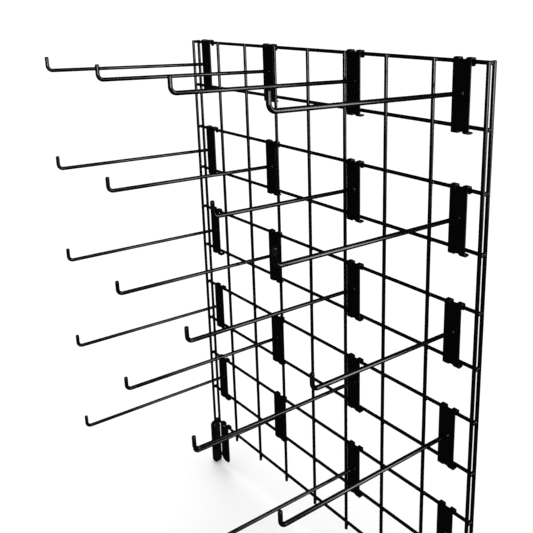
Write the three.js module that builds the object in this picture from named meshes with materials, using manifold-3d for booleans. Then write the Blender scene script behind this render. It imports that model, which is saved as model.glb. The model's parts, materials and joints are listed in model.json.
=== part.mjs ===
// Wire grid tool wall: a welded wire panel with straight hooks hanging in its cells.
// Millimetres, +Z up. The origin is on the top cross wire's axis, half way along the panel.
// +X runs along the panel, -Y points out of it along the hooks, +Y goes into the wall.
import * as THREE from 'three';
import { mergeVertices } from 'three/addons/utils/BufferGeometryUtils.js';
import Module from 'manifold-3d';

const wasm = await Module();
wasm.setup();

// The grid
const PITCH = 76.2; // between wire centres, both ways (3 inches)
const CELLS_ACROSS = 8;
const CELLS_DOWN = 10;
const WIRE_DIAMETER = 5.1;
const JOINT_GAP = 0.3; // kept between pieces that touch or are welded
const WIRE_SIDES = 12;
const WIRE_RADIUS = WIRE_DIAMETER / 2;
const LAYER = WIRE_DIAMETER + JOINT_GAP; // from one layer of wires to the next, along Y
const HALF_WIDTH = (PITCH * CELLS_ACROSS) / 2;
const BOTTOM_WIRE_Z = -PITCH * CELLS_DOWN;
const UPRIGHT_TOP = WIRE_RADIUS; // the uprights end flush with the top cross wire
const UPRIGHT_OVERHANG = 8; // how far the uprights run on below the bottom cross wire
const REAR_OVERHANG = 5; // the same for the two rear edge wires

// The hook's plate, in a frame whose origin is the axis of the wire that it hangs on
const PLATE_WIDTH = 25;
const PLATE_THICKNESS = 1.9;
const WRAP_INNER = WIRE_RADIUS + 0.45; // from the axis to the inside of the square wrap over it
const WRAP_OUTER = WRAP_INNER + PLATE_THICKNESS;
const FOLD_RADIUS = 2.6; // outside radius of every fold in a plate
const FOLD_STEPS = 2; // pairs of facets round each fold
const LIP_DROP = 6; // the tabs end this far below the wire's axis, behind it
const PLATE_DROP = 85; // from the wire's axis to the plate's lower edge
const TAB_LENGTH = 10.4; // lower tabs, bent back under the next cross wire
const TAB_RISE = THREE.MathUtils.degToRad(3);
const TOP_NOTCH_WIDTH = 10.6; // between the two tabs over the wire
const TOP_NOTCH_FLOOR = -0.5;
const LOWER_NOTCH_WIDTH = 8.4; // between the two lower tabs
const LOWER_NOTCH_TOP = -82;
const CUT_MARGIN = 5; // how far a notch's cutting box runs past the metal on its open sides

// The hook's arm
const ARM_RADIUS = 2.8;
const ARM_SIDES = 12;
const TIP_HEIGHT = 1.6; // of the low dome on the arm's cut end
const TIP_RINGS = 4; // rings of facets on that dome and its hidden lower half
const ARM_ROOT_Z = -37;
const ARM_TILT = THREE.MathUtils.degToRad(3.2);
const BEND_RADIUS = 8;
const BEND_STEPS = 3;
const UPTURN_HEIGHT = 20.5; // from the arm's centre line to the very tip
const LONG_REACH = 283; // plate face to the centre of the upturned end
const MEDIUM_REACH = 236;
const SHORT_REACH = 175;

// Where the hooks hang: their columns from the left edge wire, and every second cell down
const HOOK_COLUMNS = [37.6, 211, 396.7, 573];
const HOOK_ROWS = 5;
const CELLS_PER_HOOK_ROW = 2;
const OTHER_REACHES = {
  hook_row2_col3: MEDIUM_REACH,
  hook_row3_col4: MEDIUM_REACH,
  hook_row5_col2: SHORT_REACH,
};
const SLIDES = { hook_row2_col4: 2, hook_row4_col4: -2.5 }; // hooks pushed out of their column

// The feet: a domed sleeve on the lower end of each front edge wire, and a clip beside it
const SLEEVE_SIZE = { x: 13, y: 18 };
const SLEEVE_TOP = BOTTOM_WIRE_Z - WIRE_RADIUS - JOINT_GAP;
const SLEEVE_SHOULDER = 8; // corner radii in the sleeve's side view
const SLEEVE_TOE = 5;
const SLEEVE_EDGE = 4; // rounding of the side view's whole outline
const SLEEVE_SEGMENTS = 4; // pairs of facets round each shoulder and toe, and rings in the edge
const FLOOR_Z = BOTTOM_WIRE_Z - 94;
const SLEEVE_BASE = 3; // thickness of the sleeve's closed bottom
const BORE_CLEARANCE = 0.35;
const BORE_SIDES = 24;
const CLIP_WIDTH = 25;
const CLIP_DROP = 80; // from the bottom wire's axis to the clip's lower end
const CLIP_CORNER = 8; // its round lower corners
const CLIP_OFFSET = 31; // clip plate's centre, in from the edge wire
const STAY_RADIUS = 2.5;
const STAY_DROPS = [41, 70]; // the two stays from clip to sleeve, below the bottom wire

const QUARTER_TURN = Math.PI / 2;
const MERGE_DISTANCE = 1e-4; // vertices closer than this are one

const gloss = { color: 0x0b0b0d, metalness: 0.1 };
const wireFinish = new THREE.MeshStandardMaterial({ ...gloss, roughness: 0.3 });
const hookFinish = new THREE.MeshStandardMaterial({ ...gloss, roughness: 0.35 });
const plateFinish = new THREE.MeshStandardMaterial({ ...gloss, roughness: 0.5 });
const sleeveFinish = new THREE.MeshStandardMaterial({ color: 0x0a0a0a, roughness: 0.7 });

const group = new THREE.Group();

function addMesh(name, geometry, material) {
  const mesh = new THREE.Mesh(geometry, material);
  mesh.name = name;
  group.add(mesh);
  return mesh;
}

function toSolid(geometry) {
  const bare = geometry.clone();
  bare.deleteAttribute('normal');
  bare.deleteAttribute('uv');
  const merged = mergeVertices(bare, MERGE_DISTANCE);
  return new wasm.Manifold(new wasm.Mesh({
    numProp: 3,
    vertProperties: new Float32Array(merged.attributes.position.array),
    triVerts: new Uint32Array(merged.index.array),
  }));
}

function toGeometry(solid) {
  const { vertProperties, triVerts } = solid.getMesh();
  const geometry = new THREE.BufferGeometry();
  geometry.setAttribute('position', new THREE.BufferAttribute(vertProperties, 3));
  geometry.setIndex(new THREE.BufferAttribute(triVerts, 1));
  geometry.computeVertexNormals();
  return geometry;
}

function box(from, to) {
  const size = new THREE.Vector3().subVectors(to, from);
  const middle = new THREE.Vector3().addVectors(from, to).multiplyScalar(0.5);
  return new THREE.BoxGeometry(size.x, size.y, size.z).translate(...middle.toArray());
}

// Turns a profile drawn in Y and Z into a solid as wide as `width` along X, centred on X = 0.
function extrudeAlongX(profile, width) {
  const geometry = new THREE.ExtrudeGeometry(profile, {
    depth: width, bevelEnabled: false, curveSegments: FOLD_STEPS,
  });
  return turnToX(geometry.translate(0, 0, -width / 2));
}

// Turns a drawing's two axes to Y and Z, and its depth to X.
function turnToX(geometry) {
  const yAxis = new THREE.Vector3(0, 1, 0);
  const zAxis = new THREE.Vector3(0, 0, 1);
  const xAxis = new THREE.Vector3(1, 0, 0);
  return geometry.applyMatrix4(new THREE.Matrix4().makeBasis(yAxis, zAxis, xAxis));
}

// Side view of a plate: lip behind the wire, square wrap over it, flat front, and whatever
// finishFoot draws at the foot, from the front face round to the back face.
function plateProfile(finishFoot) {
  const centre = WRAP_OUTER - FOLD_RADIUS;
  const inside = FOLD_RADIUS - PLATE_THICKNESS;
  const profile = new THREE.Shape();
  profile.moveTo(WRAP_INNER, -LIP_DROP);
  profile.lineTo(WRAP_OUTER, -LIP_DROP);
  profile.absarc(centre, centre, FOLD_RADIUS, 0, QUARTER_TURN, false);
  profile.absarc(-centre, centre, FOLD_RADIUS, QUARTER_TURN, Math.PI, false);
  finishFoot(profile);
  profile.absarc(-centre, centre, inside, Math.PI, QUARTER_TURN, true);
  profile.absarc(centre, centre, inside, QUARTER_TURN, 0, true);
  profile.closePath();
  return profile;
}

// A hook's foot: folded back into the lower tab, which rises a little.
function drawTab(profile) {
  const along = new THREE.Vector2(Math.cos(TAB_RISE), Math.sin(TAB_RISE));
  const across = new THREE.Vector2(-along.y, along.x);
  const centre = new THREE.Vector2(FOLD_RADIUS - WRAP_OUTER, FOLD_RADIUS - PLATE_DROP);
  const turned = 3 * QUARTER_TURN + TAB_RISE;
  const tipLow = centre.clone().addScaledVector(across, -FOLD_RADIUS)
    .addScaledVector(along, TAB_LENGTH - FOLD_RADIUS);
  const tipHigh = tipLow.clone().addScaledVector(across, PLATE_THICKNESS);
  profile.absarc(centre.x, centre.y, FOLD_RADIUS, Math.PI, turned, false);
  profile.lineTo(tipLow.x, tipLow.y);
  profile.lineTo(tipHigh.x, tipHigh.y);
  profile.absarc(centre.x, centre.y, FOLD_RADIUS - PLATE_THICKNESS, turned, Math.PI, true);
}

// The clip's foot: a plain end, long enough to be cut to shape.
function drawPlainEnd(profile) {
  profile.lineTo(-WRAP_OUTER, -PLATE_DROP);
  profile.lineTo(-WRAP_INNER, -PLATE_DROP);
}

// The box that a notch takes out of the plate, from the depth `front` to behind the metal.
function notchSolid(width, front, bottom, top) {
  const from = new THREE.Vector3(-width / 2, front, bottom);
  const to = new THREE.Vector3(width / 2, TAB_LENGTH + CUT_MARGIN, top);
  return toSolid(box(from, to));
}

// Takes out the gap between the two tabs that go over the wire.
function cutTopNotch(solid) {
  const inFront = -WRAP_OUTER - CUT_MARGIN;
  const above = WRAP_OUTER + CUT_MARGIN;
  const belowLips = -LIP_DROP - CUT_MARGIN;
  return solid
    .subtract(notchSolid(TOP_NOTCH_WIDTH, inFront, TOP_NOTCH_FLOOR, above))
    .subtract(notchSolid(TOP_NOTCH_WIDTH, 0, belowLips, above));
}

function hookPlateSolid() {
  const inFront = -WRAP_OUTER - CUT_MARGIN;
  const below = -PLATE_DROP - CUT_MARGIN;
  return cutTopNotch(toSolid(extrudeAlongX(plateProfile(drawTab), PLATE_WIDTH)))
    .subtract(notchSolid(LOWER_NOTCH_WIDTH, inFront, below, LOWER_NOTCH_TOP));
}

// The clip's plate: its folded strip is cut to a tongue with two round lower corners.
function clipPlateSolid() {
  const depth = 2 * (WRAP_OUTER + CUT_MARGIN);
  const side = CLIP_WIDTH / 2;
  const outline = new THREE.Shape();
  outline.moveTo(side, WRAP_OUTER + CUT_MARGIN);
  outline.lineTo(-side, WRAP_OUTER + CUT_MARGIN);
  outline.absarc(CLIP_CORNER - side, CLIP_CORNER - CLIP_DROP, CLIP_CORNER,
    Math.PI, 3 * QUARTER_TURN, false);
  outline.absarc(side - CLIP_CORNER, CLIP_CORNER - CLIP_DROP, CLIP_CORNER,
    3 * QUARTER_TURN, 2 * Math.PI, false);
  outline.closePath();
  const tongue = new THREE.ExtrudeGeometry(outline, {
    depth, bevelEnabled: false, curveSegments: SLEEVE_SEGMENTS,
  }).translate(0, 0, -depth / 2).rotateX(QUARTER_TURN);
  const strip = extrudeAlongX(plateProfile(drawPlainEnd), CLIP_WIDTH + 2 * CUT_MARGIN);
  return cutTopNotch(toSolid(strip).intersect(toSolid(tongue)));
}

// A path through given points, with one extrusion step from each point to the next.
class BentPath extends THREE.Curve {
  constructor(points) {
    super();
    this.points = points;
  }

  getPoint(t) {
    return this.points[Math.round(t * (this.points.length - 1))].clone();
  }

  getPointAt(t) {
    return this.getPoint(t);
  }

  getTangentAt(t) {
    const last = this.points.length - 1;
    const here = Math.round(t * last);
    const before = this.points[Math.max(here - 1, 0)];
    const after = this.points[Math.min(here + 1, last)];
    return new THREE.Vector3().subVectors(after, before).normalize();
  }
}

// Centre line of the arm: out of the plate, a rising straight, a round bend, a vertical end.
function armPoints(reach) {
  const tipY = -WRAP_OUTER - reach;
  const rootY = -(WRAP_INNER + WRAP_OUTER) / 2;
  const turn = QUARTER_TURN - ARM_TILT;
  const setback = BEND_RADIUS * Math.tan(turn / 2);
  const cornerZ = ARM_ROOT_Z + reach * Math.tan(ARM_TILT);
  const centre = new THREE.Vector3(0, tipY + BEND_RADIUS, cornerZ + setback);
  const points = [new THREE.Vector3(0, rootY, ARM_ROOT_Z)];
  for (let i = 0; i <= BEND_STEPS; i += 1) {
    const angle = turn * (1 - i / BEND_STEPS);
    const offset = new THREE.Vector3(0, -Math.cos(angle), -Math.sin(angle));
    points.push(centre.clone().addScaledVector(offset, BEND_RADIUS));
  }
  points.push(new THREE.Vector3(0, tipY, cornerZ + UPTURN_HEIGHT - TIP_HEIGHT));
  return points;
}

function armSolid(reach) {
  const points = armPoints(reach);
  const section = new THREE.Shape();
  section.absarc(0, 0, ARM_RADIUS, 0, 2 * Math.PI, false);
  const rod = new THREE.ExtrudeGeometry(section, {
    steps: points.length - 1,
    curveSegments: ARM_SIDES / 2,
    bevelEnabled: false,
    extrudePath: new BentPath(points),
  });
  const dome = new THREE.SphereGeometry(ARM_RADIUS, ARM_SIDES, TIP_RINGS)
    .rotateX(QUARTER_TURN)
    .scale(1, 1, TIP_HEIGHT / ARM_RADIUS);
  const end = points[points.length - 1];
  return toSolid(rod).add(toSolid(dome.translate(end.x, end.y, end.z)));
}

function wireGeometry(length) {
  return new THREE.CylinderGeometry(WIRE_RADIUS, WIRE_RADIUS, length, WIRE_SIDES);
}

function addUpright(name, x, y, bottom) {
  const length = UPRIGHT_TOP - bottom;
  const wire = addMesh(name, wireGeometry(length).rotateX(QUARTER_TURN), wireFinish);
  wire.position.set(x, y, bottom + length / 2);
}

function addUprights() {
  const openEnd = BOTTOM_WIRE_Z - UPRIGHT_OVERHANG;
  const rearEnd = BOTTOM_WIRE_Z - REAR_OVERHANG;
  const footedEnd = FLOOR_Z + SLEEVE_BASE + JOINT_GAP;
  for (let i = 0; i <= CELLS_ACROSS; i += 1) {
    const atEdge = i === 0 || i === CELLS_ACROSS;
    const x = i * PITCH - HALF_WIDTH;
    addUpright(`upright_wire_${i + 1}`, x, -LAYER, atEdge ? footedEnd : openEnd);
  }
  addUpright('rear_edge_wire_left', -HALF_WIDTH, LAYER, rearEnd);
  addUpright('rear_edge_wire_right', HALF_WIDTH, LAYER, rearEnd);
}

function addCrossWires() {
  const length = 2 * (HALF_WIDTH + WIRE_RADIUS);
  for (let i = 0; i <= CELLS_DOWN; i += 1) {
    const name = `cross_wire_${String(i + 1).padStart(2, '0')}`;
    const wire = addMesh(name, wireGeometry(length).rotateZ(QUARTER_TURN), wireFinish);
    wire.position.set(0, 0, -i * PITCH);
  }
}

function addHooks() {
  for (let row = 0; row < HOOK_ROWS; row += 1) {
    for (const [column, fromEdge] of HOOK_COLUMNS.entries()) {
      const name = `hook_row${row + 1}_col${column + 1}`;
      const reach = OTHER_REACHES[name] ?? LONG_REACH;
      const x = fromEdge + (SLIDES[name] ?? 0) - HALF_WIDTH;
      const solid = hookPlateSolid().add(armSolid(reach));
      const hook = addMesh(name, toGeometry(solid), hookFinish);
      hook.position.set(x, 0, -row * CELLS_PER_HOOK_ROW * PITCH);
    }
  }
}

// The sleeve's side view, with the wire's axis at Y = 0: round shoulders over a squarer toe.
function sleeveProfile() {
  const shoulderY = SLEEVE_SIZE.y / 2 - SLEEVE_SHOULDER;
  const shoulderZ = SLEEVE_TOP - SLEEVE_SHOULDER;
  const toeY = SLEEVE_SIZE.y / 2 - SLEEVE_TOE;
  const toeZ = FLOOR_Z + SLEEVE_TOE;
  const profile = new THREE.Shape();
  profile.absarc(shoulderY, shoulderZ, SLEEVE_SHOULDER, 0, QUARTER_TURN, false);
  profile.absarc(-shoulderY, shoulderZ, SLEEVE_SHOULDER, QUARTER_TURN, Math.PI, false);
  profile.absarc(-toeY, toeZ, SLEEVE_TOE, Math.PI, 3 * QUARTER_TURN, false);
  profile.absarc(toeY, toeZ, SLEEVE_TOE, 3 * QUARTER_TURN, 2 * Math.PI, false);
  profile.closePath();
  return profile;
}

function sleeveSolid() {
  const depth = SLEEVE_SIZE.x - 2 * SLEEVE_EDGE;
  const body = new THREE.ExtrudeGeometry(sleeveProfile(), {
    depth,
    curveSegments: SLEEVE_SEGMENTS,
    bevelThickness: SLEEVE_EDGE,
    bevelSize: SLEEVE_EDGE,
    bevelOffset: -SLEEVE_EDGE,
    bevelSegments: SLEEVE_SEGMENTS,
  }).translate(0, 0, -depth / 2);
  const boreRadius = WIRE_RADIUS + BORE_CLEARANCE;
  const boreBottom = FLOOR_Z + SLEEVE_BASE;
  const boreLength = SLEEVE_TOP + CUT_MARGIN - boreBottom;
  const bore = new THREE.CylinderGeometry(boreRadius, boreRadius, boreLength, BORE_SIDES)
    .rotateX(QUARTER_TURN)
    .translate(0, 0, boreBottom + boreLength / 2);
  return toSolid(turnToX(body)).subtract(toSolid(bore));
}

// The clip hangs on the bottom wire like a hook; its stays reach sideways to the sleeve.
function clipSolid(side) {
  const plateEdge = CLIP_OFFSET - CLIP_WIDTH / 2;
  const sleeveFace = SLEEVE_SIZE.x / 2 + JOINT_GAP;
  const innerEnd = plateEdge + STAY_RADIUS;
  const length = innerEnd - sleeveFace;
  const middle = side * (CLIP_OFFSET - (innerEnd + sleeveFace) / 2);
  const plateMidY = -(WRAP_INNER + WRAP_OUTER) / 2;
  let solid = clipPlateSolid();
  for (const drop of STAY_DROPS) {
    const stay = new THREE.CylinderGeometry(STAY_RADIUS, STAY_RADIUS, length, WIRE_SIDES)
      .rotateZ(QUARTER_TURN)
      .translate(middle, plateMidY, -drop);
    solid = solid.add(toSolid(stay));
  }
  return solid;
}

function addFeet() {
  for (const [label, side] of [['left', -1], ['right', 1]]) {
    const sleeve = addMesh(`foot_sleeve_${label}`, toGeometry(sleeveSolid()), sleeveFinish);
    sleeve.position.set(side * HALF_WIDTH, -LAYER, 0);
    const clip = addMesh(`foot_clip_${label}`, toGeometry(clipSolid(side)), plateFinish);
    clip.position.set(side * (HALF_WIDTH - CLIP_OFFSET), 0, BOTTOM_WIRE_Z);
  }
}

addUprights();
addCrossWires();
addHooks();
addFeet();

export default group;
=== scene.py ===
"""Wire grid tool wall with hanging hooks: the looks.

Metres, in the frame's own axes: X runs along the panel, Z is up, and the hooks point to -Y.
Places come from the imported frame, and the sizes below are those of the real sheet and rod.
"""
import json
import math

import bmesh
import bpy
from mathutils import Matrix, Vector


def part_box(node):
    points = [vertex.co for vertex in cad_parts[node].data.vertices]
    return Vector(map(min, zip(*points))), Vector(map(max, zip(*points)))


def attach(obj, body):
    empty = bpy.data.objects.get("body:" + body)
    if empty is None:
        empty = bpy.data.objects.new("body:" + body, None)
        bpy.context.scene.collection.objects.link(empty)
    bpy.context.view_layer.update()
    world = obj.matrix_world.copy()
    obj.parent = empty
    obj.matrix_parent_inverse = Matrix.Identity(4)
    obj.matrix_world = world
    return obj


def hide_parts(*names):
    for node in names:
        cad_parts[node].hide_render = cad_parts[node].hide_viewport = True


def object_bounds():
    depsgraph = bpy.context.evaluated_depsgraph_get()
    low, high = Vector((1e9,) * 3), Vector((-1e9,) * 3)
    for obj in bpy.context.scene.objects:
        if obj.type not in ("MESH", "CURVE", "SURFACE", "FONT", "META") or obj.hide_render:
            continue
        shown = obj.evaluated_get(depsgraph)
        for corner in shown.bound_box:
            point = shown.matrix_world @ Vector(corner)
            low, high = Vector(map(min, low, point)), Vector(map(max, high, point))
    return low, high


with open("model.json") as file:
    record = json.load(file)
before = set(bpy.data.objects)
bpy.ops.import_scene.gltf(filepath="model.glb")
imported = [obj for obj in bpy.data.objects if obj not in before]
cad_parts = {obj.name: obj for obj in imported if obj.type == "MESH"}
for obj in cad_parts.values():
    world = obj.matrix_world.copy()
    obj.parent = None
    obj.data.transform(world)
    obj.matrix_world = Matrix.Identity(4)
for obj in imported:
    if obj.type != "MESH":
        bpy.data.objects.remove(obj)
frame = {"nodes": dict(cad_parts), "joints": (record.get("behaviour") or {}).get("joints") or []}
cad_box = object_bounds()

MM = 0.001
X_AXIS = Vector((1, 0, 0))
Y_AXIS = Vector((0, 1, 0))
Z_AXIS = Vector((0, 0, 1))

# Wires
WIRE_SIDES = 32
WIRE_END_EDGE = 0.9 * MM
WIRE_END_STEPS = 5
WIRE_END_WEAR = 6 * MM
WIRE_NUGGET = Vector((2.8, 1.3, 2.8)) * MM
NUGGET_FINENESS = 3
NUGGET_LUMPS = ((2, 0.06), (5, 0.04))  # (how many round the weld, height against its radius)
WELD_TURN = 1.7  # how far each weld's lumps are turned from the last one's

# How rubbed the paint is, from 0 for fresh paint to 1
WELD_WEAR = 0.3
EDGE_WEAR = 0.8

# The hook's plate: one strip of sheet, folded square over the cross wire and back at its foot
SHEET = 1.9 * MM
SHEET_EDGE = 0.35 * MM
SHEET_EDGE_STEPS = 3
WRAP_DEPTH = 3.95 * MM  # from the wire's axis to the middle of the sheet
FOLD_RADIUS = 1.65 * MM  # to the middle of the sheet
PLATE_FACE = WRAP_DEPTH + SHEET / 2
PLATE_WIDTH = 25 * MM
LIP_DROP = 6 * MM
PLATE_DROP = 85 * MM
HEEL_TURN = math.radians(93)
TAB_STRAIGHT = 7.8 * MM
TOP_NOTCH_WIDTH = 10.6 * MM
TOP_NOTCH_DEPTH = 0.5 * MM  # below the wire's axis
LOWER_NOTCH_WIDTH = 8.4 * MM
LOWER_NOTCH_DROP = 82 * MM  # its upper end, below the wire's axis
LIP_CORNER = 2.2 * MM
TAB_CORNER = 1.8 * MM
NOTCH_CORNER = 0.8 * MM
CORNER_STEPS = 5
FOLD_STEP = math.radians(12)
STRAIGHT_ROWS = 4
NO_SLIVERS = 0.001 * MM
FLATNESS = 80  # how strongly large faces lead the smooth shading

# The hook's arm
ARM_RADIUS = 2.8 * MM
ARM_SIDES = 28
ARM_ROOT_DROP = 37 * MM
ARM_TILT = math.radians(3.2)
ARM_BEND = 8 * MM
ARM_BEND_STEPS = 12
ARM_TIP_EDGE = 1.6 * MM
ARM_TIP_STEPS = 8
ARM_UPTURN = 20.5 * MM
BEAD_WIDTH = 1.7 * MM
BEAD_HEIGHT = 1.4 * MM
BEAD_STEPS = 40
BEAD_SIDES = 12
BEAD_LUMPS = ((3, 0.13), (8, 0.07))

# The feet
SLEEVE_EDGE = 4 * MM
SLEEVE_SHOULDER = 8 * MM
SLEEVE_TOE = 5 * MM
SLEEVE_STEPS = 7
CLIP_WIDTH = 25 * MM
CLIP_DROP = 80 * MM
CLIP_CORNER = 8 * MM
STAY_RADIUS = 2.5 * MM
STAY_NUGGET = Vector((1.4, 3.4, 3.4)) * MM
STAY_DROPS = (41 * MM, 70 * MM)  # below the wire's axis

# The paints: their linear colours and their relief
FRESH_BLACK = (0.0012, 0.0012, 0.0013)
PLATE_BLACK = (0.0010, 0.0010, 0.0011)
DUSTY_VINYL = (0.003, 0.003, 0.003)
CLEAN_VINYL = (0.0012, 0.0012, 0.0012)
GRIT_HEIGHT = 0.3  # of the paint's pimples, against its orange peel
SKIN_DEPTH = 0.1 * MM

# The camera: front right of the panel and just above its top, looking in and down
CAMERA_PLACE = Vector((0.7769, -0.6847, 0.0902))
CAMERA_AZIMUTH = math.radians(52.42)
CAMERA_DOWN = math.radians(14.88)
CAMERA_ROLL = math.radians(-1.9)
CAMERA_LENS = 47.85  # in millimetres, as the sensor's width is
CAMERA_SENSOR = 36
CAMERA_SHIFT = -0.172  # brings the panel's top near the upper edge of the picture
CAMERA_START = 10 * MM
CAMERA_END = 100

# The room: its floor and its light
FLOOR_WHITE = 0.97
FLOOR_RADIUS = 12
FLOOR_SIDES = 96
BACKDROP = 1.12
ROOM_LIGHT = 0.80
REFLECTED_ROOM = 0.02
TOP_LIGHT = 1.25
TOP_LIGHT_ANGLE = math.radians(50)
TOP_LIGHT_FROM = Vector((-0.55, 0.12, 0.8))
SOFTBOX_AIM = Vector((0, -0.15, 0))  # the middle of the hooks, seen from above


# ---------------------------------------------------------------- camera, light and floor

def add_camera():
    """Azimuth 0 looks along +Y, and grows towards -X."""
    level = math.cos(CAMERA_DOWN)
    forward = Vector((-math.sin(CAMERA_AZIMUTH) * level, math.cos(CAMERA_AZIMUTH) * level,
                      -math.sin(CAMERA_DOWN)))
    level_right = Vector((math.cos(CAMERA_AZIMUTH), math.sin(CAMERA_AZIMUTH), 0))
    level_up = level_right.cross(forward)
    right = level_right * math.cos(CAMERA_ROLL) + level_up * math.sin(CAMERA_ROLL)
    up = level_up * math.cos(CAMERA_ROLL) - level_right * math.sin(CAMERA_ROLL)
    data = bpy.data.cameras.new("camera")
    data.sensor_width = CAMERA_SENSOR
    data.lens = CAMERA_LENS
    data.shift_y = CAMERA_SHIFT
    data.clip_start = CAMERA_START
    data.clip_end = CAMERA_END
    camera = bpy.data.objects.new("camera", data)
    turn = Matrix((right, up, -forward)).transposed()
    camera.matrix_world = Matrix.Translation(CAMERA_PLACE) @ turn.to_4x4()
    bpy.context.scene.collection.objects.link(camera)
    bpy.context.scene.camera = camera


def add_softbox(name, azimuth, distance, height, size, radiance):
    """An upright softbox that shows only as a highlight. Azimuth 0 is at +X and 90 at +Y."""
    angle = math.radians(azimuth)
    out = Vector((math.cos(angle), math.sin(angle), 0))
    data = bpy.data.lights.new(name, "AREA")
    data.shape = "RECTANGLE"
    data.size, data.size_y = size
    data.energy = radiance * math.pi * data.size * data.size_y
    light = bpy.data.objects.new(name, data)
    light.location = SOFTBOX_AIM + Z_AXIS * height + out * distance
    light.rotation_mode = "QUATERNION"
    light.rotation_quaternion = (-out).to_track_quat("-Z", "Y")
    light.visible_camera = False
    light.visible_diffuse = False
    bpy.context.scene.collection.objects.link(light)


def add_top_light():
    """A broad, high light from the left, which draws the soft shadow at the foot."""
    data = bpy.data.lights.new("top_light", "SUN")
    data.energy = TOP_LIGHT
    data.angle = TOP_LIGHT_ANGLE
    light = bpy.data.objects.new("top_light", data)
    light.rotation_mode = "QUATERNION"
    light.rotation_quaternion = TOP_LIGHT_FROM.to_track_quat("Z", "Y")
    light.visible_glossy = False
    bpy.context.scene.collection.objects.link(light)


def add_lights():
    add_top_light()
    add_softbox("front_right_softbox", azimuth=-15, distance=2.0, height=0.05,
                size=(0.9, 0.9), radiance=11)
    add_softbox("right_rear_softbox", azimuth=37, distance=2.0, height=-0.15,
                size=(0.45, 1.1), radiance=7.5)
    add_softbox("high_strip", azimuth=31, distance=1.9, height=0.75,
                size=(1.2, 0.14), radiance=8)


def add_world():
    """White behind everything, soft fill for matt surfaces and a dark room for reflections."""
    world = bpy.data.worlds.new("studio")
    bpy.context.scene.world = world
    world.use_nodes = True
    nodes, links = world.node_tree.nodes, world.node_tree.links
    shader = nodes["Background"]
    shader.inputs["Color"].default_value = (1, 1, 1, 1)
    rays = nodes.new("ShaderNodeLightPath")
    lit = add_range(nodes, links, rays.outputs["Is Glossy Ray"], ROOM_LIGHT, REFLECTED_ROOM)
    seen = nodes.new("ShaderNodeMath")
    seen.operation = "MULTIPLY_ADD"
    seen.inputs[1].default_value = BACKDROP - ROOM_LIGHT
    links.new(rays.outputs["Is Camera Ray"], seen.inputs[0])
    links.new(lit, seen.inputs[2])
    links.new(seen.outputs["Value"], shader.inputs["Strength"])


def add_floor():
    """A wide, matt white floor under the feet."""
    bm = bmesh.new()
    bmesh.ops.create_circle(bm, cap_ends=True, radius=FLOOR_RADIUS, segments=FLOOR_SIDES)
    mesh = bpy.data.meshes.new("floor")
    bm.to_mesh(mesh)
    bm.free()
    material, _, _, shader = new_material("studio_floor")
    shader.inputs["Base Color"].default_value = (FLOOR_WHITE, FLOOR_WHITE, FLOOR_WHITE, 1)
    shader.inputs["Roughness"].default_value = 1
    shader.inputs["Specular IOR Level"].default_value = 0
    mesh.materials.append(material)
    floor = bpy.data.objects.new("floor", mesh)
    floor.location.z = cad_box[0].z
    floor.visible_glossy = False
    bpy.context.scene.collection.objects.link(floor)


# ---------------------------------------------------------------- materials

def new_material(name):
    material = bpy.data.materials.new(name)
    material.use_nodes = True
    nodes = material.node_tree.nodes
    return material, nodes, material.node_tree.links, nodes["Principled BSDF"]


def add_texture(nodes, kind, **inputs):
    texture = nodes.new(kind)
    for name, value in inputs.items():
        texture.inputs[name].default_value = value
    return texture


def add_range(nodes, links, source, low, high, from_low=0.0, from_high=1.0):
    """Turns a value into one between low and high."""
    node = nodes.new("ShaderNodeMapRange")
    node.inputs["From Min"].default_value = from_low
    node.inputs["From Max"].default_value = from_high
    node.inputs["To Min"].default_value = low
    node.inputs["To Max"].default_value = high
    links.new(source, node.inputs["Value"])
    return node.outputs["Result"]


def add_mix(nodes, links, share, first, second):
    """A colour between two colours."""
    mix = nodes.new("ShaderNodeMix")
    mix.data_type = "RGBA"
    links.new(share, mix.inputs["Factor"])
    mix.inputs["A"].default_value = (*first, 1)
    mix.inputs["B"].default_value = (*second, 1)
    return mix.outputs["Result"]


def add_product(nodes, links, first, second):
    node = nodes.new("ShaderNodeMath")
    node.operation = "MULTIPLY"
    links.new(first, node.inputs[0])
    links.new(second, node.inputs[1])
    return node.outputs["Value"]


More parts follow.
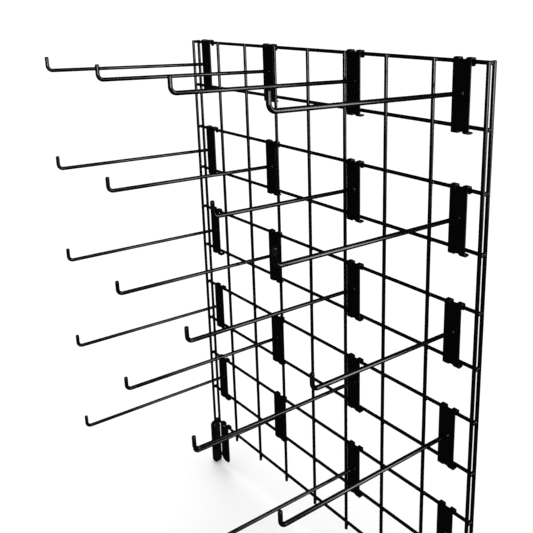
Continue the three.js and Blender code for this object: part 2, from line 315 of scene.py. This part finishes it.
def powder_coat(name, base, rubbed, gloss, peel, specular):
    """Baked powder paint: orange peel, slow changes of gloss, and paler rubbed edges.

    The mesh attribute "wear" says where goods and wires have rubbed it.
    """
    material, nodes, links, shader = new_material(name)
    place = nodes.new("ShaderNodeTexCoord").outputs["Object"]
    cloud = add_texture(nodes, "ShaderNodeTexNoise", Scale=28.0, Detail=4.0)
    scuff = add_texture(nodes, "ShaderNodeTexNoise", Scale=190.0, Detail=6.0, Roughness=0.7)
    skin = add_texture(nodes, "ShaderNodeTexNoise", Scale=850.0, Detail=1.0)
    grit = add_texture(nodes, "ShaderNodeTexVoronoi", Scale=310.0)
    for texture in (cloud, scuff, skin, grit):
        links.new(place, texture.inputs["Vector"])

    wear = nodes.new("ShaderNodeAttribute")
    wear.attribute_name = "wear"
    patchy = add_range(nodes, links, scuff.outputs["Fac"], 0.0, 1.0,
                       from_low=0.45, from_high=0.62)
    rubbing = add_product(nodes, links, wear.outputs["Fac"], patchy)
    links.new(add_mix(nodes, links, rubbing, base, rubbed), shader.inputs["Base Color"])

    rough = add_range(nodes, links, cloud.outputs["Fac"], *gloss, from_low=0.3, from_high=0.7)
    links.new(rough, shader.inputs["Roughness"])

    pimple = add_range(nodes, links, grit.outputs["Distance"], 1.0, 0.0,
                       from_low=0.02, from_high=0.14)
    height = nodes.new("ShaderNodeMath")
    height.operation = "MULTIPLY_ADD"
    height.inputs[1].default_value = GRIT_HEIGHT
    links.new(pimple, height.inputs[0])
    links.new(skin.outputs["Fac"], height.inputs[2])
    bump = add_texture(nodes, "ShaderNodeBump", Strength=peel, Distance=SKIN_DEPTH)
    links.new(height.outputs["Value"], bump.inputs["Height"])
    links.new(bump.outputs["Normal"], shader.inputs["Normal"])
    shader.inputs["Specular IOR Level"].default_value = specular
    return material


def moulded_vinyl(name):
    """Matt black moulding: leathery grain, with paler dusty patches."""
    material, nodes, links, shader = new_material(name)
    place = nodes.new("ShaderNodeTexCoord").outputs["Object"]
    dust = add_texture(nodes, "ShaderNodeTexNoise", Scale=55.0, Detail=6.0)
    grain = add_texture(nodes, "ShaderNodeTexVoronoi", Scale=1100.0)
    for texture in (dust, grain):
        links.new(place, texture.inputs["Vector"])
    share = add_range(nodes, links, dust.outputs["Fac"], 0.0, 1.0,
                      from_low=0.45, from_high=0.7)
    tint = add_mix(nodes, links, share, CLEAN_VINYL, DUSTY_VINYL)
    links.new(tint, shader.inputs["Base Color"])
    links.new(add_range(nodes, links, share, 0.36, 0.50), shader.inputs["Roughness"])
    bump = add_texture(nodes, "ShaderNodeBump", Strength=0.35, Distance=SKIN_DEPTH)
    links.new(grain.outputs["Distance"], bump.inputs["Height"])
    links.new(bump.outputs["Normal"], shader.inputs["Normal"])
    shader.inputs["Specular IOR Level"].default_value = 0.35
    return material


# ---------------------------------------------------------------- meshes

def make_piece(name, mesh, material, body, slot, *nodes):
    """A finished mesh as a piece that rides on a body, and stands for CAD nodes if any.

    Its smooth shading follows the large faces, so that flats look flat between their edges.
    """
    mesh.materials.append(material)
    piece = bpy.data.objects.new(name, mesh)
    bpy.context.scene.collection.objects.link(piece)
    piece.modifiers.new("flat_faces", "WEIGHTED_NORMAL").weight = FLATNESS
    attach(piece, body)
    if nodes:
        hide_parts(*nodes)
    return piece


def finish_mesh(bm, name):
    bmesh.ops.recalc_face_normals(bm, faces=bm.faces)
    mesh = bpy.data.meshes.new(name)
    bm.to_mesh(mesh)
    bm.free()
    mesh.shade_smooth()
    return mesh


def add_tube(bm, points, radii, sides, square):
    """A closed tube along a flat path. `square` is at right angles to the whole path."""
    last = len(points) - 1
    rings = []
    for i, (point, radius) in enumerate(zip(points, radii)):
        along = (points[min(i + 1, last)] - points[max(i - 1, 0)]).normalized()
        across = along.cross(square).normalized()
        ring = []
        for k in range(sides):
            angle = 2 * math.pi * k / sides
            ring.append(bm.verts.new(
                point + (square * math.cos(angle) + across * math.sin(angle)) * radius))
        rings.append(ring)
    for near, far in zip(rings, rings[1:]):
        for k in range(sides):
            j = (k + 1) % sides
            bm.faces.new((near[k], near[j], far[j], far[k]))
    bm.faces.new(rings[0][::-1])
    bm.faces.new(rings[-1])
    return rings


def rounded_end(radius, edge, steps):
    """(distance from the end, radius) of the rings round a cut end, from its flat face out."""
    rings = []
    for i in range(steps + 1):
        angle = math.pi / 2 * i / steps
        rings.append((edge * (1 - math.cos(angle)), radius - edge * (1 - math.sin(angle))))
    return rings


def add_rod(bm, start, end, radius, sides, square, edge, worn=0.0):
    """A straight rod with rounded cut ends, and a ring where each worn end stops."""
    along = (end - start).normalized()
    profile = rounded_end(radius, edge, WIRE_END_STEPS)
    if worn:
        profile.append((worn, radius))
    points = [start + along * distance for distance, _ in profile]
    points += [end - along * distance for distance, _ in reversed(profile)]
    radii = [r for _, r in profile]
    add_tube(bm, points, radii + radii[::-1], sides, square)


def set_wear(mesh, share_at):
    """Says for each vertex how rubbed it is, from 0 for fresh paint."""
    wear = mesh.attributes.new("wear", "FLOAT", "POINT")
    for vertex in mesh.vertices:
        wear.data[vertex.index].value = share_at(vertex.co)


# ---------------------------------------------------------------- the wire panel

def wire_ends(node):
    """Where a wire starts and ends, and its radius, from its CAD node's box."""
    low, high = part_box(node)
    middle, size = (low + high) / 2, high - low
    axis = max(range(3), key=lambda i: size[i])
    start, end = middle.copy(), middle.copy()
    start[axis], end[axis] = low[axis], high[axis]
    return start, end, min(size) / 2


def add_wire(node):
    """One coated wire, rubbed at its cut ends."""
    start, end, radius = wire_ends(node)
    bm = bmesh.new()
    add_rod(bm, start, end, radius, WIRE_SIDES, Y_AXIS, WIRE_END_EDGE, WIRE_END_WEAR)
    name = f"{node}_coated"
    mesh = finish_mesh(bm, name)

    def share_at(co):
        from_end = min((co - start).length, (co - end).length)
        return max(1 - from_end / WIRE_END_WEAR, 0)

    set_wear(mesh, share_at)
    make_piece(name, mesh, WIRE_PAINT, "panel", "powder_coated_wire", node)


def lumpy(angle, turn, lumps):
    """How far a weld reaches at an angle round it, against a plain round one."""
    reach = 1
    for i, (count, height) in enumerate(lumps, start=1):
        reach += height * math.sin(count * angle + i * turn)
    return reach


def add_nugget(bm, centre, size, turn):
    """The squeezed-out metal of one spot weld: a flattened, lumpy ball between two wires."""
    made = bmesh.ops.create_icosphere(bm, subdivisions=NUGGET_FINENESS, radius=1)
    for vertex in made["verts"]:
        x, y, z = vertex.co
        lump = lumpy(math.atan2(z, x), turn, NUGGET_LUMPS)
        vertex.co = centre + Vector((x * lump * size.x, y * size.y, z * lump * size.z))


def add_panel():
    """The wires, and a row of spot welds on every cross wire."""
    nodes = sorted(frame["nodes"])
    uprights = [n for n in nodes if n.startswith(("upright_wire", "rear_edge_wire"))]
    bars = [n for n in nodes if n.startswith("cross_wire")]
    for node in uprights + bars:
        add_wire(node)
    for row, bar in enumerate(bars):
        bar_start, _, _ = wire_ends(bar)
        bm = bmesh.new()
        for column, upright in enumerate(uprights):
            upright_start, _, _ = wire_ends(upright)
            depth = (upright_start.y + bar_start.y) / 2
            centre = Vector((upright_start.x, depth, bar_start.z))
            add_nugget(bm, centre, WIRE_NUGGET, WELD_TURN * (row + column * len(bars)))
        mesh = finish_mesh(bm, f"{bar}_welds")
        set_wear(mesh, lambda co: WELD_WEAR)
        make_piece(mesh.name, mesh, WIRE_PAINT, "panel", "powder_coated_wire")


# ---------------------------------------------------------------- the hooks

def strip_to(*foot):
    """The folded strip from its lips to its foot, as (length, fold radius or None) parts."""
    quarter = FOLD_RADIUS * math.pi / 2
    straight = WRAP_DEPTH - FOLD_RADIUS
    return ((LIP_DROP + straight, None), (quarter, FOLD_RADIUS), (2 * straight, None),
            (quarter, FOLD_RADIUS), *foot)


def wire_level(strip):
    """How far along the strip its front passes the height of the wire's axis."""
    return sum(length for length, _ in strip[:4]) + WRAP_DEPTH - FOLD_RADIUS


HEEL_DROP = PLATE_DROP - SHEET / 2 - FOLD_RADIUS  # where the front's straight part ends
HOOK_STRIP = strip_to(
    (WRAP_DEPTH - FOLD_RADIUS + HEEL_DROP, None),
    (FOLD_RADIUS * HEEL_TURN, FOLD_RADIUS),
    (TAB_STRAIGHT, None),
)
CLIP_STRIP = strip_to((WRAP_DEPTH - FOLD_RADIUS + CLIP_DROP, None))


def fold(strip, distance):
    """Where the middle of the folded strip is at a distance along it: y, z and heading."""
    y, z, heading = WRAP_DEPTH, -LIP_DROP, math.pi / 2
    for length, radius in strip:
        part = min(distance, length)
        if radius:
            turned = heading + part / radius
            y += radius * (math.sin(turned) - math.sin(heading))
            z -= radius * (math.cos(turned) - math.cos(heading))
            heading = turned
        else:
            y += part * math.cos(heading)
            z += part * math.sin(heading)
        distance -= part
    return y, z, heading


def strip_stations(strip):
    """The distances along the strip where its mesh needs a row of vertices."""
    start = 0.0
    for length, radius in strip:
        rows = math.ceil(length / radius / FOLD_STEP) if radius else STRAIGHT_ROWS
        for row in range(1, rows + 1):
            yield start + length * row / rows
        start += length


def rounded_polygon(corners):
    """The outline through (x, y, corner radius) points, with an arc at each corner."""
    outline = []
    for i, (x, y, radius) in enumerate(corners):
        corner = Vector((x, y))
        before = (Vector(corners[i - 1][:2]) - corner).normalized()
        after = (Vector(corners[(i + 1) % len(corners)][:2]) - corner).normalized()
        centre = corner + (before + after) * radius
        for step in range(CORNER_STEPS + 1):
            angle = math.pi / 2 * step / CORNER_STEPS
            outline.append(centre - after * radius * math.cos(angle)
                           - before * radius * math.sin(angle))
    return outline


def blank_outline(strip, width, foot):
    """The flat strip before it is folded: x across it, y along it from the lips.

    `foot` is the right half of its lower end, from the side to the middle.
    """
    half = width / 2
    right = [
        (TOP_NOTCH_WIDTH / 2, wire_level(strip) + TOP_NOTCH_DEPTH, NOTCH_CORNER),
        (TOP_NOTCH_WIDTH / 2, 0, LIP_CORNER),
        (half, 0, LIP_CORNER),
        *foot,
    ]
    left = [(-x, y, radius) for x, y, radius in reversed(right)]
    return rounded_polygon(right + left)


def hook_blank():
    """The hook's plate before folding: notched between its two lips and its two lower tabs."""
    length = sum(part for part, _ in HOOK_STRIP)
    notch = LOWER_NOTCH_WIDTH / 2
    return blank_outline(HOOK_STRIP, PLATE_WIDTH, [
        (PLATE_WIDTH / 2, length, TAB_CORNER),
        (notch, length, TAB_CORNER),
        (notch, wire_level(HOOK_STRIP) + LOWER_NOTCH_DROP, NOTCH_CORNER),
    ])


def clip_blank():
    """The clip's plate before folding: two lips, and a tongue with round corners."""
    length = sum(part for part, _ in CLIP_STRIP)
    return blank_outline(CLIP_STRIP, CLIP_WIDTH, [(CLIP_WIDTH / 2, length, CLIP_CORNER)])


def plate_mesh(name, place, strip, outline):
    """The strip with soft edges, cut into rows, folded and put in place."""
    bm = bmesh.new()
    faces = []
    for side in (-SHEET / 2, SHEET / 2):
        faces.append([bm.verts.new((p.x, p.y, side)) for p in outline])
    back, front = bm.faces.new(faces[0][::-1]), bm.faces.new(faces[1])
    for i in range(len(outline)):
        j = (i + 1) % len(outline)
        bm.faces.new((faces[0][i], faces[0][j], faces[1][j], faces[1][i]))
    rims = list(back.edges) + list(front.edges)
    bmesh.ops.bevel(bm, geom=rims, offset=SHEET_EDGE, segments=SHEET_EDGE_STEPS, profile=0.5,
                    affect="EDGES", clamp_overlap=False)
    for station in list(strip_stations(strip))[:-1]:
        everything = bm.verts[:] + bm.edges[:] + bm.faces[:]
        bmesh.ops.bisect_plane(bm, geom=everything, dist=NO_SLIVERS,
                               plane_co=(0, station, 0), plane_no=(0, 1, 0))
    wear = bm.verts.layers.float.new("wear")
    for vertex in bm.verts:
        across, along, out = vertex.co
        vertex[wear] = EDGE_WEAR * (abs(out) < SHEET / 2 - NO_SLIVERS)
        y, z, heading = fold(strip, along)
        vertex.co = place + Vector((across, y + out * math.sin(heading),
                                    z - out * math.cos(heading)))
    return finish_mesh(bm, name)


def arm_points(reach):
    """The arm's middle line, from inside the plate to just under its tip, and where that is."""
    turn = math.pi / 2 - ARM_TILT
    corner_z = -ARM_ROOT_DROP + reach * math.tan(ARM_TILT)
    tip_y = -PLATE_FACE - reach
    centre = Vector((0, tip_y + ARM_BEND, corner_z + ARM_BEND * math.tan(turn / 2)))
    points = [Vector((0, -WRAP_DEPTH, -ARM_ROOT_DROP))]
    for step in range(ARM_BEND_STEPS + 1):
        angle = turn * (1 - step / ARM_BEND_STEPS)
        points.append(centre + Vector((0, -math.cos(angle), -math.sin(angle))) * ARM_BEND)
    tip = Vector((0, tip_y, corner_z + ARM_UPTURN))
    return points, tip


def arm_mesh(name, place, reach):
    """The arm as one tube, with a rounded tip whose paint is rubbed."""
    points, tip = arm_points(reach)
    end = rounded_end(ARM_RADIUS, ARM_TIP_EDGE, ARM_TIP_STEPS)
    radii = [ARM_RADIUS] * len(points)
    for distance, radius in reversed(end):
        points.append(tip - Z_AXIS * distance)
        radii.append(radius)
    bm = bmesh.new()
    add_tube(bm, [place + point for point in points], radii, ARM_SIDES, X_AXIS)
    mesh = finish_mesh(bm, name)
    bend_z = place.z + points[1].z
    set_wear(mesh, lambda co: max(co.z - bend_z, 0) / ARM_UPTURN * EDGE_WEAR)
    return mesh


def weld_mesh(name, centre, turn):
    """The bead round the arm's root: a ring with a round back and slow lumps."""
    bm = bmesh.new()
    rings = []
    for step in range(BEAD_STEPS):
        angle = 2 * math.pi * step / BEAD_STEPS
        out = Vector((math.cos(angle), 0, math.sin(angle)))
        lump = lumpy(angle, turn, BEAD_LUMPS)
        ring = []
        for k in range(BEAD_SIDES):
            around = 2 * math.pi * k / BEAD_SIDES
            radial = ARM_RADIUS + BEAD_WIDTH * lump * math.cos(around)
            depth = BEAD_HEIGHT * lump * math.sin(around)
            ring.append(bm.verts.new(centre + out * radial - Y_AXIS * depth))
        rings.append(ring)
    for near, far in zip(rings, rings[1:] + rings[:1]):
        for k in range(BEAD_SIDES):
            j = (k + 1) % BEAD_SIDES
            bm.faces.new((near[k], near[j], far[j], far[k]))
    mesh = finish_mesh(bm, name)
    set_wear(mesh, lambda co: WELD_WEAR)
    return mesh


def add_hook(node, body, place, turn):
    """A folded plate, its arm and the weld between them."""
    low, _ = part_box(node)
    reach = place.y - low.y - ARM_RADIUS - PLATE_FACE
    root = place + Vector((0, -PLATE_FACE, -ARM_ROOT_DROP))
    slot = "powder_coated_hook"
    plate = plate_mesh(f"{node}_plate", place, HOOK_STRIP, hook_blank())
    make_piece(plate.name, plate, PLATE_PAINT, body, slot, node)
    arm = arm_mesh(f"{node}_arm", place, reach)
    make_piece(arm.name, arm, ARM_PAINT, body, slot)
    weld = weld_mesh(f"{node}_weld", root, turn)
    make_piece(weld.name, weld, ARM_PAINT, body, slot)


def add_hooks():
    for i, joint in enumerate(frame["joints"]):
        node = joint["child"].removesuffix("_body")
        add_hook(node, joint["child"], Vector(joint["pos_m"]), WELD_TURN * i)


# ---------------------------------------------------------------- the feet

def sleeve_outline(low, high, inset):
    """The sleeve's side view, as Y and Z points: round shoulders over a squarer toe."""
    shoulder, toe = SLEEVE_SHOULDER - inset, SLEEVE_TOE - inset
    return rounded_polygon([
        (low.y + inset, low.z + inset, toe), (high.y - inset, low.z + inset, toe),
        (high.y - inset, high.z - inset, shoulder), (low.y + inset, high.z - inset, shoulder),
    ])


def sleeve_mesh(name, node):
    """The sleeve as rings across X: its flat sides run round into the narrow faces."""
    low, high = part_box(node)
    side = []
    for step in range(SLEEVE_STEPS + 1):
        angle = math.pi / 2 * step / SLEEVE_STEPS
        side.append((SLEEVE_EDGE * (1 - math.cos(angle)),
                     SLEEVE_EDGE * (1 - math.sin(angle))))
    stations = [(low.x + out, inset) for out, inset in side]
    stations += [(high.x - out, inset) for out, inset in reversed(side)]
    bm = bmesh.new()
    rings = []
    for x, inset in stations:
        outline = sleeve_outline(low, high, inset)
        rings.append([bm.verts.new((x, p.x, p.y)) for p in outline])
    for near, far in zip(rings, rings[1:]):
        for k in range(len(near)):
            j = (k + 1) % len(near)
            bm.faces.new((near[k], near[j], far[j], far[k]))
    bm.faces.new(rings[0][::-1])
    bm.faces.new(rings[-1])
    return finish_mesh(bm, name)


def add_foot(label, inward):
    """A sleeve, and beside it a clip: a plate on the lowest cross wire with two stays.

    `inward` is 1 where the clip lies to the +X side of its sleeve, and -1 where to the other.
    """
    slot = "powder_coated_hook"
    sleeve = f"foot_sleeve_{label}"
    moulding = sleeve_mesh(f"{sleeve}_moulded", sleeve)
    make_piece(moulding.name, moulding, SLEEVE_VINYL, "panel", "foot_sleeve", sleeve)
    clip = f"foot_clip_{label}"
    low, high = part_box(clip)
    outer_x = low.x if inward > 0 else high.x
    inner_x = high.x if inward > 0 else low.x
    place = Vector((inner_x - inward * CLIP_WIDTH / 2, 0, high.z - PLATE_FACE))
    plate = plate_mesh(f"{clip}_plate", place, CLIP_STRIP, clip_blank())
    make_piece(plate.name, plate, PLATE_PAINT, "panel", slot, clip)
    stays, welds = bmesh.new(), bmesh.new()
    for i, drop in enumerate(STAY_DROPS):
        start = Vector((outer_x, -WRAP_DEPTH, place.z - drop))
        edge = start.copy()
        edge.x = inner_x - inward * CLIP_WIDTH
        end = edge + X_AXIS * inward * STAY_RADIUS
        add_rod(stays, start, end, STAY_RADIUS, WIRE_SIDES, Y_AXIS, WIRE_END_EDGE)
        add_nugget(welds, edge, STAY_NUGGET, WELD_TURN * i)
    for name, made in ((f"{clip}_stays", stays), (f"{clip}_stay_welds", welds)):
        mesh = finish_mesh(made, name)
        set_wear(mesh, lambda co: WELD_WEAR)
        make_piece(name, mesh, ARM_PAINT, "panel", slot)


WIRE_PAINT = powder_coat("wire_paint", FRESH_BLACK, rubbed=(0.012, 0.012, 0.013),
                         gloss=(0.12, 0.18), peel=0.08, specular=0.5)
PLATE_PAINT = powder_coat("plate_paint", PLATE_BLACK, rubbed=(0.010, 0.010, 0.010),
                          gloss=(0.34, 0.46), peel=0.20, specular=0.3)
ARM_PAINT = powder_coat("arm_paint", FRESH_BLACK, rubbed=(0.014, 0.014, 0.014),
                        gloss=(0.11, 0.16), peel=0.08, specular=0.5)
SLEEVE_VINYL = moulded_vinyl("sleeve_vinyl")

bpy.context.scene.view_settings.view_transform = "Standard"
add_camera()
add_lights()
add_world()
add_floor()
add_panel()
add_hooks()
add_foot("left", 1)
add_foot("right", -1)

bpy.context.view_layer.update()
